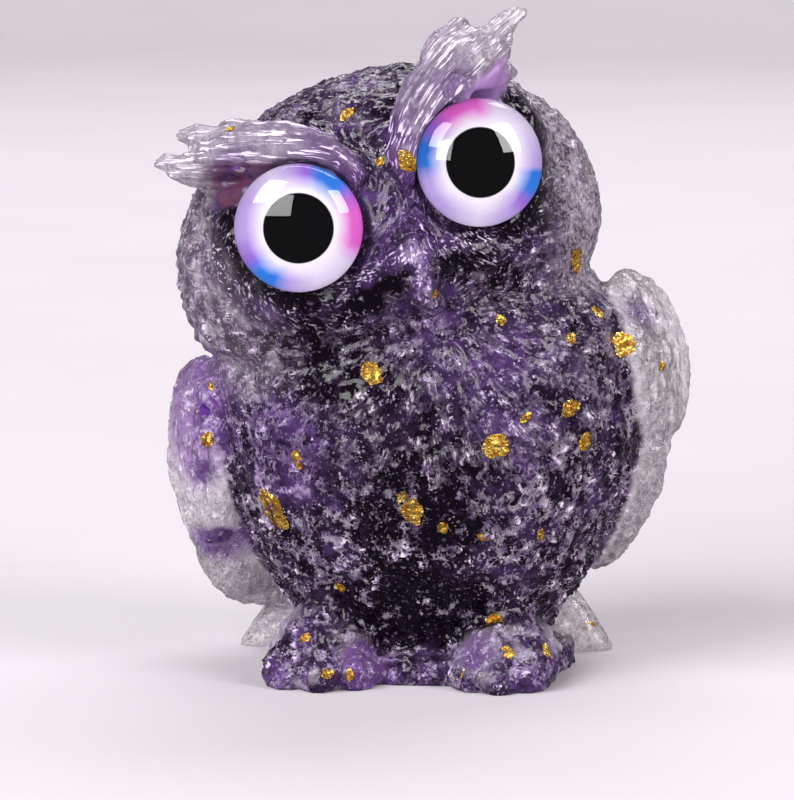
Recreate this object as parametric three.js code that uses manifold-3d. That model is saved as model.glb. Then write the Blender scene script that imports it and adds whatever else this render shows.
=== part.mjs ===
// Owl figurine: one clear resin casting filled with crushed amethyst, with gold-foil flakes and larger
// amethyst chips set just under its surface, and two round glass eyes glued into sockets.
// Millimetres, +Z up. The owl faces -Y and stands on the plane z = 0. It is shaped around the axis of its
// body and then moved, so that the origin is at the bottom centre of the whole figurine. Left and right
// are the owl's own, so its right side is at -X.

import * as THREE from 'three';
import { ConvexGeometry } from 'three/addons/geometries/ConvexGeometry.js';
import { mergeVertices } from 'three/addons/utils/BufferGeometryUtils.js';
import Module from 'manifold-3d';

const wasm = await Module();
wasm.setup();

// ---- driving dimensions -------------------------------------------------------------------------

const BASE_THICKNESS = 2.6;
const BASE_HALF_WIDTH = 14.5;
const BASE_HALF_DEPTH = 12.5;
const FLOOR_CUT = 40; // side of the block that trims everything below z = 0

const BODY_RADIUS = 20.9; // at its widest
const BODY_DEPTH_RATIO = 0.82; // the body is a little flatter front to back than side to side

const HEAD_CENTRE = new THREE.Vector3(-3.8, -0.5, 41.6);
const HEAD_ROLL = 19.5; // degrees: the owl cocks its head to its right
const HEAD_TURN = 11; // degrees: and turns its face a little to its left
const HEAD_RADII = [21, 16.6, 16.4];
const FACIAL_DISC_RADII = [8.6, 9.5, 8.6];
const FACIAL_DISC_Y = -7;
const RUFF_FEATHERS = 5; // down each cheek
const RUFF_RADII = [2.9, 4.5, 3.9];
const RUFF_ARC = [18, -3, 13.6]; // half-width, y and half-height of the arc that the ruff follows
const RUFF_TOP = 44; // degrees above the head's middle
const RUFF_STEP = 27; // degrees between ruff feathers
const BEAK_WIDTH = 2.4;
const BEAK_THICKNESS = 2.3;
const FACE_FEATHER_WIDTH = 2.7;
const FACE_FEATHER_THICKNESS = 1.3;
const TUFT_THICKNESS = 2.4;
const TUFT_FEATHER_WIDTH = 1.5;
const TUFT_FEATHER_THICKNESS = 1.4;

const COVERT_WIDTH = 8.2; // the lobe at each shoulder
const COVERT_THICKNESS = 4;
const FLIGHT_FEATHERS = 4; // in each wing
const FLIGHT_SPACING = 3.1; // along y
const FLIGHT_WIDTH = 3.2;
const FLIGHT_THICKNESS = 3.4;
const FLIGHT_OVERLAP = 0.15; // share of the covert that the flight feathers reach up behind

const TAIL_WIDTH = 4.4; // each of five feathers
const TAIL_THICKNESS = 2.6;
const RUMP_RADII = [10, 6, 9];

const FOOT_RADII = [5.6, 6.8, 5.6];
const FOOT_Y = -8.2;
const TOE_RADII = [2.5, 4.6, 2.9];
const TOE_Y = -12.4; // of the middle toe

const EYE_RADIUS = 6; // 12 mm cabochons
const EYE_HALF_SPACING = 8.75;
const EYE_HEIGHT = 5; // above the head's centre, in the head's own frame
const EYE_SOCKET_FLOOR = -14.2; // y of the socket floor's middle, in the head's own frame
const EYE_SPLAY = 8; // degrees that each eye turns outward
const SOCKET_DEPTH_CUT = 8; // how far a socket's cutter reaches forward
const CUP_RADIUS = 7.1; // the wider cup outside each socket
const CUP_FLOOR = 0.4;
const CUP_SHIFT = [0.7, -0.5]; // outward and down from the socket
const CABOCHON_GIRDLE = 0.7;
const CABOCHON_DOME = 3.0;
const IRIS_DISC_THICKNESS = 0.25;
const IRIS_INSET = 0.1; // from the glass's edge
const ADHESIVE_THICKNESS = 0.4;
const ADHESIVE_INSET = 0.8;
const GAP = 0.3; // clearance between pieces that are bonded in the real figurine

const FILL_WALL = 2.0; // clear resin between the outer surface and the amethyst fill
const FILL_RECESS = 0.6; // the fill stops this far above the resting face
const FILL_SHOULDER = 2; // height where the fill narrows to the round mouth in the base
const MOUTH_RADIUS = 8.6;
const MOUTH_HEIGHT = 4;

const FLAKE_THICKNESS = 0.3;
const FLAKE_DEPTH = 0.2; // from the casting's surface down to a flake's outer face
const CHIP_DEPTH = 0.1; // from the casting's surface down to a chip's outer corner
const POCKET_REACH = 1.4; // how far a pocket's cutter stands out of the surface

// ---- solids and placing ---------------------------------------------------------------------------

const vec = (x, y, z) => new THREE.Vector3(x, y, z);
const radians = THREE.MathUtils.degToRad;

/** A closed geometry as a manifold solid. */
function solid(geometry) {
  const bare = geometry.clone();
  bare.deleteAttribute('normal');
  bare.deleteAttribute('uv');
  const merged = mergeVertices(bare, 1e-4);
  const index = merged.index.array;
  const triangles = [];
  for (let i = 0; i < index.length; i += 3) {
    const [a, b, c] = [index[i], index[i + 1], index[i + 2]];
    if (a !== b && b !== c && c !== a) {
      triangles.push(a, b, c);
    }
  }
  const mesh = new wasm.Mesh({
    numProp: 3,
    vertProperties: new Float32Array(merged.attributes.position.array),
    triVerts: new Uint32Array(triangles),
  });
  return new wasm.Manifold(mesh);
}

/** A manifold solid as an indexed geometry. */
function geometryOf(body) {
  const mesh = body.getMesh();
  const geometry = new THREE.BufferGeometry();
  geometry.setAttribute('position', new THREE.BufferAttribute(mesh.vertProperties, 3));
  geometry.setIndex(new THREE.BufferAttribute(mesh.triVerts, 1));
  geometry.computeVertexNormals();
  return geometry;
}

/** All of the given solids joined into one. */
function joined(bodies) {
  return bodies.reduce((whole, body) => whole.add(body));
}

/** An ellipsoid geometry with its radii along x, y and z. */
function ellipsoid(radii, centre, across = 20, up = 12) {
  const geometry = new THREE.SphereGeometry(1, across, up);
  geometry.rotateX(Math.PI / 2);
  geometry.scale(...radii);
  geometry.translate(centre.x, centre.y, centre.z);
  return geometry;
}

/** An ellipsoid whose long axis points along a direction, with the other two radii across it. */
function lobe(start, end, width, thickness, facing, across = 14, up = 10) {
  const along = end.clone().sub(start);
  const long = along.length() / 2;
  const side = facing.clone().cross(along).normalize();
  const out = along.clone().cross(side).normalize();
  const frame = new THREE.Matrix4().makeBasis(side, out, along.clone().normalize());
  frame.setPosition(start.clone().add(end).multiplyScalar(0.5));
  const geometry = new THREE.SphereGeometry(1, across, up);
  geometry.rotateX(Math.PI / 2);
  geometry.scale(width, thickness, long);
  return geometry.applyMatrix4(frame);
}

/** A closed spindle that follows a smooth curve: fattest at `fullest`, drawn out to both ends. */
function spindle(points, width, thickness, facing, fullest = 0.5, across = 10, up = 12) {
  const curve = new THREE.CatmullRomCurve3(points);
  const geometry = new THREE.SphereGeometry(1, across, up);
  const position = geometry.attributes.position;
  const power = Math.log(0.5) / Math.log(fullest);
  const spot = vec(0, 0, 0);
  for (let i = 0; i < position.count; i += 1) {
    spot.fromBufferAttribute(position, i);
    const share = Math.min(Math.max((spot.y + 1) / 2, 0), 1) ** (1 / power);
    const along = curve.getTangent(share);
    const side = facing.clone().cross(along).normalize();
    const out = side.clone().cross(along).normalize();
    const place = curve.getPoint(share);
    place.addScaledVector(side, spot.x * width);
    place.addScaledVector(out, spot.z * thickness);
    position.setXYZ(i, place.x, place.y, place.z);
  }
  return geometry;
}

/** The convex skin round some geometries. */
function skinOver(geometries) {
  const points = geometries.flatMap((geometry) => {
    const position = geometry.attributes.position;
    return Array.from({ length: position.count }, (_, i) => vec(0, 0, 0).fromBufferAttribute(position, i));
  });
  return new ConvexGeometry(points);
}

/** Moves a geometry from the head's own frame to where the cocked head stands. */
function onHead(geometry) {
  geometry.rotateZ(radians(HEAD_TURN));
  geometry.rotateY(radians(-HEAD_ROLL));
  return geometry.translate(HEAD_CENTRE.x, HEAD_CENTRE.y, HEAD_CENTRE.z);
}

// ---- the casting's outer form -----------------------------------------------------------------------

/** Half-width of the body at each height, from the base to the neck. */
const BODY_PROFILE = [
  [0, 0.6],
  [10.6, 0.6],
  [11.6, 3],
  [13.6, 6],
  [16.8, 11],
  [19.4, 17],
  [20.8, 23],
  [BODY_RADIUS, 29],
  [19.4, 34.5],
  [15.5, 39],
  [8, 42],
  [0, 43],
];

function bodyForm(shrink = 0, across = 32) {
  const profile = BODY_PROFILE.map(([radius, height]) => {
    const inner = radius > 0 ? radius - shrink : 0;
    return new THREE.Vector2(inner, height);
  });
  const geometry = new THREE.LatheGeometry(profile, across);
  geometry.rotateX(Math.PI / 2);
  const depth = (BODY_RADIUS * BODY_DEPTH_RATIO - shrink) / (BODY_RADIUS - shrink);
  geometry.scale(1, depth, 1);
  return geometry;
}

function baseSlab() {
  const outline = new THREE.Shape();
  outline.absellipse(0, 0, BASE_HALF_WIDTH, BASE_HALF_DEPTH, 0, Math.PI * 2);
  const settings = { depth: BASE_THICKNESS, bevelEnabled: false, curveSegments: 16 };
  return new THREE.ExtrudeGeometry(outline, settings);
}

function headForms() {
  const forms = [ellipsoid(HEAD_RADII, vec(0, 0, 0), 32, 18)];
  for (const side of [-1, 1]) {
    // The facial disc that carries the eye, and a row of ruff feathers down the cheek.
    const eye = vec(side * EYE_HALF_SPACING, FACIAL_DISC_Y, EYE_HEIGHT);
    forms.push(ellipsoid(FACIAL_DISC_RADII, eye, 20, 12));
    const [reach, ruffY, rise] = RUFF_ARC;
    for (let i = 0; i < RUFF_FEATHERS; i += 1) {
      const angle = radians(RUFF_TOP - RUFF_STEP * i);
      const centre = vec(side * reach * Math.cos(angle), ruffY, rise * Math.sin(angle));
      forms.push(ellipsoid(RUFF_RADII, centre, 10, 6));
    }
  }
  return forms.map(onHead);
}

/** The beak is a low hooked ridge between the eyes. */
function beakForm() {
  const points = [vec(0, -13, 3), vec(0, -16.8, 0.2), vec(0, -18.3, -3.2), vec(0, -16.9, -7)];
  return onHead(spindle(points, BEAK_WIDTH, BEAK_THICKNESS, vec(0, -1, 0), 0.45));
}

/** Two rows of face feathers make a V from the beak out under each eye. */
function faceFeatherForms(side) {
  const rows = [
    [vec(0.4, -14.1, -0.8), vec(4.8, -14.5, -3.8), vec(10.6, -12.2, -5.4)],
    [vec(0.2, -14.2, -4), vec(3.4, -14.2, -7.4), vec(8, -11.8, -10)],
  ];
  return rows.map((points) => {
    const placed = points.map((point) => vec(side * point.x, point.y, point.z));
    const facing = vec(0, -1, 0);
    return onHead(spindle(placed, FACE_FEATHER_WIDTH, FACE_FEATHER_THICKNESS, facing, 0.45, 8, 8));
  });
}

/** An ear tuft: a leaf that wraps the inner side of one eye, sweeps over it and ends in ragged feathers. */
function tuftForms(spine, width, feathers) {
  const forward = vec(0, -1, 0);
  const forms = [spindle(spine, width, TUFT_THICKNESS, forward, 0.6, 12, 12)];
  for (const feather of feathers) {
    forms.push(spindle(feather, TUFT_FEATHER_WIDTH, TUFT_FEATHER_THICKNESS, forward, 0.5, 8, 8));
  }
  return forms;
}

const RIGHT_TUFT = [
  [vec(-5, -15.4, 46.5), vec(-8.2, -15.6, 49.8), vec(-14.4, -14.2, 50.4), vec(-22.8, -10.4, 48.8)],
  3.7,
  [
    [vec(-16, -13.6, 50), vec(-20.6, -12, 48.9), vec(-25.4, -10, 49.9)],
    [vec(-14.4, -13.4, 51.6), vec(-19, -11.8, 51.8), vec(-23.4, -9.6, 52.6)],
    [vec(-11, -13.2, 51.8), vec(-15.6, -11.6, 52.4), vec(-19.6, -9.4, 53.4)],
  ],
];
const LEFT_TUFT = [
  [vec(-0.7, -15.4, 47.6), vec(-0.1, -15.4, 52), vec(3, -13.6, 57.4), vec(8.2, -9.6, 62.4)],
  3.7,
  [
    [vec(2.4, -13, 57.4), vec(5.6, -11, 61), vec(9.8, -8.4, 64.4)],
    [vec(0.6, -13.4, 56.4), vec(1.6, -12, 60.4), vec(4.4, -9.6, 63.6)],
    [vec(4, -12.4, 56), vec(6.6, -10.6, 57.6), vec(8.8, -8, 58.6)],
  ],
];

/** One folded wing: a covert lobe at the shoulder, and a blade of flight feathers below and behind it. */
function wingForms(side, shoulder, elbow, tip) {
  const outward = vec(side, -0.25, 0);
  const feathers = [];
  for (let i = 0; i < FLIGHT_FEATHERS; i += 1) {
    const back = i * FLIGHT_SPACING;
    const root = elbow.clone().lerp(shoulder, FLIGHT_OVERLAP);
    const start = root.add(vec(side * (0.6 - i * 1.2), back - 2.4, 2));
    const end = tip.clone().add(vec(-side * i * 2.4, back * 1.1, -i * 0.7));
    feathers.push(lobe(start, end, FLIGHT_WIDTH, FLIGHT_THICKNESS, outward, 10, 8));
  }
  const covert = lobe(shoulder, elbow, COVERT_WIDTH, COVERT_THICKNESS, outward, 16, 10);
  return [covert, skinOver(feathers)];
}

const RIGHT_WING = [-1, vec(-22.2, 1.5, 29.8), vec(-20.8, 2, 9.6), vec(-17, 2.5, 5.4)];
const LEFT_WING = [1, vec(18.8, 1.5, 38.4), vec(22.7, 2, 21.4), vec(15.9, 2.5, 9)];

/** The tail: five overlapping feathers fan out from the rump and are widest where they meet the ground. */
function tailForms() {
  const forms = [];
  for (let i = -2; i <= 2; i += 1) {
    const start = vec(i * 3, 9.5, 13 - Math.abs(i));
    const end = vec(i * 10.2 - 1, 16.5 - Math.abs(i) * 4.5, -9);
    forms.push(lobe(start, end, TAIL_WIDTH, TAIL_THICKNESS, vec(0, 1, 0.2), 12, 8));
  }
  forms.push(ellipsoid(RUMP_RADII, vec(0, 7.5, 5), 16, 10));
  return forms;
}

/** A foot is a low feathered mound with three broad toes. */
function footForms(side, centre, spread) {
  const forms = [ellipsoid(FOOT_RADII, vec(side * centre, FOOT_Y, 1.6), 14, 10)];
  for (let i = -1; i <= 1; i += 1) {
    const toe = vec(side * centre + i * spread, TOE_Y + Math.abs(i) * 1.3, 1);
    forms.push(ellipsoid(TOE_RADII, toe, 10, 8));
  }
  return forms;
}

function castingBlank() {
  const forms = [
    bodyForm(),
    baseSlab(),
    ...headForms(),
    beakForm(),
    ...faceFeatherForms(-1),
    ...faceFeatherForms(1),
    ...tuftForms(...RIGHT_TUFT),
    ...tuftForms(...LEFT_TUFT),
    ...wingForms(...RIGHT_WING),
    ...wingForms(...LEFT_WING),
    ...tailForms(),
    ...footForms(-1, 9.4, 3.3),
    ...footForms(1, 7.7, 2.6),
  ];
  const ground = new THREE.BoxGeometry(2 * FLOOR_CUT, 2 * FLOOR_CUT, FLOOR_CUT);
  ground.translate(0, 0, -FLOOR_CUT / 2);
  return joined(forms.map(solid)).subtract(solid(ground));
}

// ---- eyes -----------------------------------------------------------------------------------------

/** Moves a piece built on the origin, facing -Y, to the floor of one eye socket. */
function onEye(geometry, side) {
  geometry.rotateZ(side * radians(EYE_SPLAY));
  geometry.translate(side * EYE_HALF_SPACING, EYE_SOCKET_FLOOR, EYE_HEIGHT);
  return onHead(geometry);
}

/** A flat round disc between two distances in front of the socket's floor. */
function eyeDisc(radius, from, to, segments = 32) {
  const geometry = new THREE.CylinderGeometry(radius, radius, to - from, segments);
  return geometry.translate(0, -(from + to) / 2, 0);
}

function socketCutters(side) {
  const hole = eyeDisc(EYE_RADIUS + GAP, 0, SOCKET_DEPTH_CUT);
  const cup = eyeDisc(CUP_RADIUS, CUP_FLOOR, SOCKET_DEPTH_CUT, 24);
  cup.translate(side * CUP_SHIFT[0], 0, CUP_SHIFT[1]);
  return [onEye(hole, side), onEye(cup, side)];
}

/** The glass: a straight girdle with a low round dome, as a closed profile turned about the eye's axis. */
function cabochonGlass(from) {
  const profile = [new THREE.Vector2(0, 0), new THREE.Vector2(EYE_RADIUS, 0)];
  const steps = 8;
  for (let i = 0; i <= steps; i += 1) {
    const angle = (Math.PI / 2) * (i / steps);
    const radius = i < steps ? EYE_RADIUS * Math.cos(angle) : 0;
    profile.push(new THREE.Vector2(radius, CABOCHON_GIRDLE + CABOCHON_DOME * Math.sin(angle)));
  }
  const geometry = new THREE.LatheGeometry(profile, 32);
  geometry.rotateX(Math.PI);
  return geometry.translate(0, -from, 0);
}

/** One eye is glued up from its back: an adhesive pad, the printed iris disc and the glass cabochon. */
function eyePieces(side) {
  const name = side < 0 ? 'eye_right' : 'eye_left';
  const adhesiveFrom = GAP;
  const irisFrom = adhesiveFrom + ADHESIVE_THICKNESS + GAP;
  const glassFrom = irisFrom + IRIS_DISC_THICKNESS + GAP;
  const adhesiveTo = adhesiveFrom + ADHESIVE_THICKNESS;
  const adhesive = eyeDisc(EYE_RADIUS - ADHESIVE_INSET, adhesiveFrom, adhesiveTo, 24);
  const iris = eyeDisc(EYE_RADIUS - IRIS_INSET, irisFrom, irisFrom + IRIS_DISC_THICKNESS, 32);
  return [
    piece(`${name}_adhesive_pad`, onEye(adhesive, side), MATERIALS.adhesive),
    piece(`${name}_iris_print`, onEye(iris, side), MATERIALS.iris),
    piece(`${name}_glass_cabochon`, onEye(cabochonGlass(glassFrom), side), MATERIALS.glass),
  ];
}

// ---- amethyst fill ----------------------------------------------------------------------------------

/** The packed fill inside body and head; the cavity around it is the same form with a thinner wall. */
function fillForm(wall, floor) {
  const [rx, ry, rz] = HEAD_RADII;
  const head = ellipsoid([rx - wall, ry - wall, rz - wall], vec(0, 0, 0), 24, 14);
  const mouth = new THREE.CylinderGeometry(MOUTH_RADIUS - wall, MOUTH_RADIUS - wall, MOUTH_HEIGHT, 20);
  mouth.rotateX(Math.PI / 2);
  mouth.translate(0, 0, floor + MOUTH_HEIGHT / 2);
  const body = solid(bodyForm(wall, 24)).add(solid(onHead(head)));
  const below = new THREE.BoxGeometry(2 * FLOOR_CUT, 2 * FLOOR_CUT, FLOOR_CUT);
  const shoulder = FILL_SHOULDER + wall - FILL_WALL;
  below.translate(0, 0, shoulder - FLOOR_CUT / 2);
  return body.subtract(solid(below)).add(solid(mouth));
}

// ---- flakes and chips in the surface ----------------------------------------------------------------

/** Where a ray along a direction first meets the casting, with the outward normal there. */
function surfaceSpot(target, from, direction) {
  const [hit] = new THREE.Raycaster(from, direction).intersectObject(target);
  return { point: hit.point, normal: hit.face.normal.clone().normalize() };
}

/** Lays a geometry built around the Z axis on a spot, at a depth under the surface. */
function atSpot(geometry, spot, depth, turn) {
  geometry.rotateZ(turn);
  const swing = new THREE.Quaternion().setFromUnitVectors(vec(0, 0, 1), spot.normal);
  geometry.applyQuaternion(swing);
  const place = spot.point.clone().addScaledVector(spot.normal, -depth);
  return geometry.translate(place.x, place.y, place.z);
}

/** An irregular six-cornered outline; `grow` widens it all round. */
function flakeOutline(radius, stretch, seed, grow = 0) {
  const outline = new THREE.Shape();
  const corners = 6;
  for (let i = 0; i < corners; i += 1) {
    const angle = (2 * Math.PI * i) / corners;
    const reach = radius * (0.86 + 0.2 * Math.sin(2.4 * i + seed)) + grow;
    const x = reach * Math.cos(angle);
    const y = (reach * Math.sin(angle) - grow * Math.sin(angle)) * stretch + grow * Math.sin(angle);
    if (i === 0) {
      outline.moveTo(x, y);
    } else {
      outline.lineTo(x, y);
    }
  }
  outline.closePath();
  return outline;
}

function slab(outline, from, to) {
  const geometry = new THREE.ExtrudeGeometry(outline, { depth: to - from, bevelEnabled: false });
  return geometry.translate(0, 0, from);
}

/** A foil flake and the pocket that it lies in. */
function flakeAndPocket(spot, radius, stretch, seed) {
  const bottom = -FLAKE_DEPTH - FLAKE_THICKNESS;
  const flake = slab(flakeOutline(radius, stretch, seed), bottom, -FLAKE_DEPTH);
  const pocket = slab(flakeOutline(radius, stretch, seed, 1.15 * GAP), bottom - GAP, POCKET_REACH);
  return [flake, pocket].map((geometry) => atSpot(geometry, spot, 0, seed));
}

/** A broken amethyst chip and the pocket that it lies in. */
function chipAndPocket(spot, radius, stretch, seed) {
  const depth = radius + CHIP_DEPTH;
  const chip = new THREE.IcosahedronGeometry(radius, 0);
  chip.scale(stretch, 1 / stretch, 0.85);
  const room = radius * Math.max(stretch, 1 / stretch) + 1.3 * GAP;
  const pocket = new THREE.CylinderGeometry(room, room, depth + radius + GAP + POCKET_REACH, 10);
  pocket.rotateX(Math.PI / 2);
  pocket.translate(0, 0, (POCKET_REACH - depth - radius - GAP) / 2 + depth);
  return [chip, pocket].map((geometry) => atSpot(geometry, spot, depth, seed));
}

/** Foil flakes seen from the front: [x, z, radius, stretch]. */
const FRONT_FLAKES = [
  [-7, 54.4, 0.8, 0.9],
  [-3.6, 50.3, 0.5, 1],
  [-0.9, 50.6, 0.9, 1.2],
  [-17.6, 53, 0.5, 0.8],
  [14.4, 40.2, 1.1, 1.2],
  [16.5, 35.3, 0.8, 0.9],
  [18.9, 32.1, 1.1, 1.3],
  [14.2, 33.4, 0.7, 1],
  [2, 38.5, 0.5, 0.8],
  [7.7, 35.4, 0.6, 0.9],
  [-4.2, 30.6, 1.4, 0.8],
  [-20.5, 27.4, 0.8, 0.8],
  [-20.9, 22.6, 0.7, 1.1],
  [-11.5, 22, 0.9, 0.9],
  [-14.1, 16.6, 1.6, 1.3],
  [-0.7, 17.8, 1.2, 1.5],
  [2.4, 15.8, 0.7, 0.8],
  [6, 14.8, 0.5, 0.9],
  [7.4, 23.8, 1.3, 1.1],
  [10.1, 26.3, 0.6, 0.8],
  [14.2, 26.9, 0.8, 1.3],
  [15.6, 23.6, 0.8, 1.1],
  [11.4, 14.7, 0.6, 1],
  [-7.7, 9.2, 0.8, 0.7],
  [-10.9, 4.8, 0.6, 1],
  [-8.6, 1.9, 0.7, 0.9],
  [-6.4, 1.6, 0.6, 0.8],
  [6.6, 6.8, 1.1, 0.8],
  [8.5, 3.8, 0.7, 1],
  [12, 3.2, 0.8, 1.2],
  [3.8, 1.7, 0.7, 0.8],
  [15.6, 2.4, 0.7, 0.8],
  [22.7, 29.8, 0.6, 1],
];

/** Foil flakes seen from the back: [x, z, radius, stretch]. */
const BACK_FLAKES = [
  [4, 50, 1, 1.2],
  [-12, 44, 0.8, 0.9],
  [7, 34, 1.2, 1],
  [-6, 27, 1.4, 1.2],
  [10, 20, 0.8, 1.3],
  [-3, 17.5, 0.7, 0.8],
];

/** Amethyst chips that show through the clear wings, tufts and feet: [x, z, radius, stretch]. */
const CHIPS = [
  [-22.2, 25, 1.6, 1.15],
  [-22.2, 19.2, 1.4, 1.1],
  [-19.6, 12.1, 1.4, 0.9],
  [-5.1, 3.2, 0.85, 1.1],
  [-17.2, 49.4, 1, 1.2],
  [4, 57.3, 1.2, 1.15],
  [21, 35, 1.1, 1.1],
  [5.4, 3.3, 0.85, 1.1],
];

const MATERIALS = {
  resin: { color: 0x9b8fae, roughness: 0.18, metalness: 0 },
  amethyst: { color: 0x3b2459, roughness: 0.3, metalness: 0 },
  chip: { color: 0x7a45c0, roughness: 0.15, metalness: 0 },
  gold: { color: 0xd9a52c, roughness: 0.35, metalness: 1 },
  glass: { color: 0xdfe6f2, roughness: 0.03, metalness: 0 },
  iris: { color: 0xb79be0, roughness: 0.4, metalness: 0 },
  adhesive: { color: 0xd8d2dc, roughness: 0.5, metalness: 0 },
};

/** A named mesh with a material of its own. */
function piece(name, geometry, finish) {
  const mesh = new THREE.Mesh(geometry, new THREE.MeshStandardMaterial(finish));
  mesh.name = name;
  return mesh;
}

/** Turns a list of places into named pieces, each with the pocket that it needs in the casting. */
function settle(target, places, make, direction, name, finish, first = 1) {
  return places.map(([x, z, radius, stretch], i) => {
    const from = vec(x, -FLOOR_CUT * direction, z);
    const spot = surfaceSpot(target, from, vec(0, direction, 0));
    const [geometry, pocket] = make(spot, radius, stretch, first + i);
    const label = String(first + i).padStart(2, '0');
    return { mesh: piece(`${name}_${label}`, geometry, finish), pocket: solid(pocket) };
  });
}

function figurine() {
  const blank = castingBlank();
  const target = new THREE.Mesh(geometryOf(blank), new THREE.MeshBasicMaterial());
  const backFirst = FRONT_FLAKES.length + 1;
  const inlays = [
    ...settle(target, CHIPS, chipAndPocket, 1, 'amethyst_chip', MATERIALS.chip),
    ...settle(target, FRONT_FLAKES, flakeAndPocket, 1, 'gold_flake', MATERIALS.gold),
    ...settle(target, BACK_FLAKES, flakeAndPocket, -1, 'gold_flake', MATERIALS.gold, backFirst),
  ];
  const sockets = [-1, 1].flatMap(socketCutters).map(solid);
  const cavity = fillForm(FILL_WALL, -1);
  const cutters = joined([cavity, ...sockets, ...inlays.map(({ pocket }) => pocket)]);
  const fill = fillForm(FILL_WALL + GAP, FILL_RECESS);

  const group = new THREE.Group();
  group.add(piece('resin_casting', geometryOf(blank.subtract(cutters)), MATERIALS.resin));
  group.add(piece('amethyst_fill', geometryOf(fill), MATERIALS.amethyst));
  group.add(...eyePieces(-1), ...eyePieces(1));
  group.add(...inlays.map(({ mesh }) => mesh));
  const middle = new THREE.Box3().setFromObject(group, true).getCenter(vec(0, 0, 0));
  group.position.set(-middle.x, -middle.y, 0);
  return group;
}

export default figurine();
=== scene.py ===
"""An owl figurine in clear resin over crushed amethyst, with gold foil flakes and two glass eyes.

Everything is in the row frame: the owl faces -Y and stands on z = 0. Shapes are worked out in
millimetres as numpy arrays and handed to Blender in metres.
"""

import math

import bmesh
import bpy
import numpy as np
from mathutils import Matrix, Vector, noise
from mathutils.bvhtree import BVHTree


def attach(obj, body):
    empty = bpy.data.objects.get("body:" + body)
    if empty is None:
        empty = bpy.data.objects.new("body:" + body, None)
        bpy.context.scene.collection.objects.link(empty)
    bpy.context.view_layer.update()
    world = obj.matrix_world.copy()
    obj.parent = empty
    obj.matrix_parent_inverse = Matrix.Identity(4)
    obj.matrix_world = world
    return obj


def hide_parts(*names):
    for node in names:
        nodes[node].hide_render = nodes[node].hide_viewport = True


MM = 0.001
SEED = 7

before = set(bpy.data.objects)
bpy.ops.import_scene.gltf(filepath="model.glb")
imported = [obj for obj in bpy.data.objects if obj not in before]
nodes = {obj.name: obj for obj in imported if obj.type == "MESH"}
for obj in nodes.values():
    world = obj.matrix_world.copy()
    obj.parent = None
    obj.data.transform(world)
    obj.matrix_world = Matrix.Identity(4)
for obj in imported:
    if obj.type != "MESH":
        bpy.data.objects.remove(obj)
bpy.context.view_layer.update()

# ---- driving sizes, in millimetres ---------------------------------------------------------------

VOXEL = 0.42  # first mesh of the casting; one subdivision halves it
RELIEF = 0.32  # height of the feather relief on the body
LUMP = 0.28  # height of the soft lumps under it
FILL_GROW = 0.6  # how far the fill is grown so that it closes the casting's core
POCKET_GROW = 0.42  # and each flake and chip, to close its pocket
SMOOTHING_ROUNDS = 26
SMOOTH_IN = 0.5  # share of the way to the neighbours' middle, in each round
SMOOTH_OUT = 0.515 * 0.85  # and back out again, so that the form doesn't shrink
SOCKET_FRONT = -1.6  # the sockets lie in front of this, from each print along the face


# ---- meshes --------------------------------------------------------------------------------------

def welded(name):
    """A CAD node's vertices (mm) and triangles, with shared corners merged."""
    mesh = bmesh.new()
    mesh.from_mesh(nodes[name].data)
    bmesh.ops.remove_doubles(mesh, verts=mesh.verts, dist=1e-6)
    bmesh.ops.triangulate(mesh, faces=mesh.faces)
    mesh.normal_update()
    points = np.array([v.co[:] for v in mesh.verts]) / MM
    normals = np.array([v.normal[:] for v in mesh.verts])
    faces = np.array([[v.index for v in f.verts] for f in mesh.faces])
    mesh.free()
    return points, normals, faces


def merged(parts):
    """Several (points, faces) pairs as one."""
    points, faces, start = [], [], 0
    for some_points, some_faces in parts:
        points.append(some_points)
        faces.append(some_faces + start)
        start += len(some_points)
    return np.vstack(points), np.vstack(faces)


def mesh_of(name, points, faces):
    mesh = bpy.data.meshes.new(name)
    mesh.from_pydata(points.tolist(), [], faces.tolist())
    mesh.update()
    return mesh


def evaluated(mesh, *modifiers):
    """A mesh after some modifiers: each is (type, {setting: value})."""
    thing = bpy.data.objects.new("scratch", mesh)
    bpy.context.scene.collection.objects.link(thing)
    for kind, settings in modifiers:
        modifier = thing.modifiers.new(kind.lower(), kind)
        for key, value in settings.items():
            setattr(modifier, key, value)
    graph = bpy.context.evaluated_depsgraph_get()
    result = bpy.data.meshes.new_from_object(thing.evaluated_get(graph))
    bpy.data.objects.remove(thing)
    return result


def remeshed(points, faces, voxel):
    """One closed skin round some overlapping solids, at a voxel size, as a Blender mesh in mm."""
    raw = mesh_of("raw", points, faces)
    return evaluated(raw, ("REMESH", {"mode": "VOXEL", "voxel_size": voxel}))


def arrays(mesh):
    """A Blender mesh's points and its edges."""
    points = np.empty(len(mesh.vertices) * 3)
    mesh.vertices.foreach_get("co", points)
    edges = np.empty(len(mesh.edges) * 2, dtype=np.int64)
    mesh.edges.foreach_get("vertices", edges)
    return points.reshape(-1, 3), edges.reshape(-1, 2)


def set_points(mesh, points):
    mesh.vertices.foreach_set("co", points.ravel())
    mesh.update()


def normals_of(mesh):
    normals = np.empty(len(mesh.vertices) * 3)
    mesh.vertices.foreach_get("normal", normals)
    return normals.reshape(-1, 3)


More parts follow.
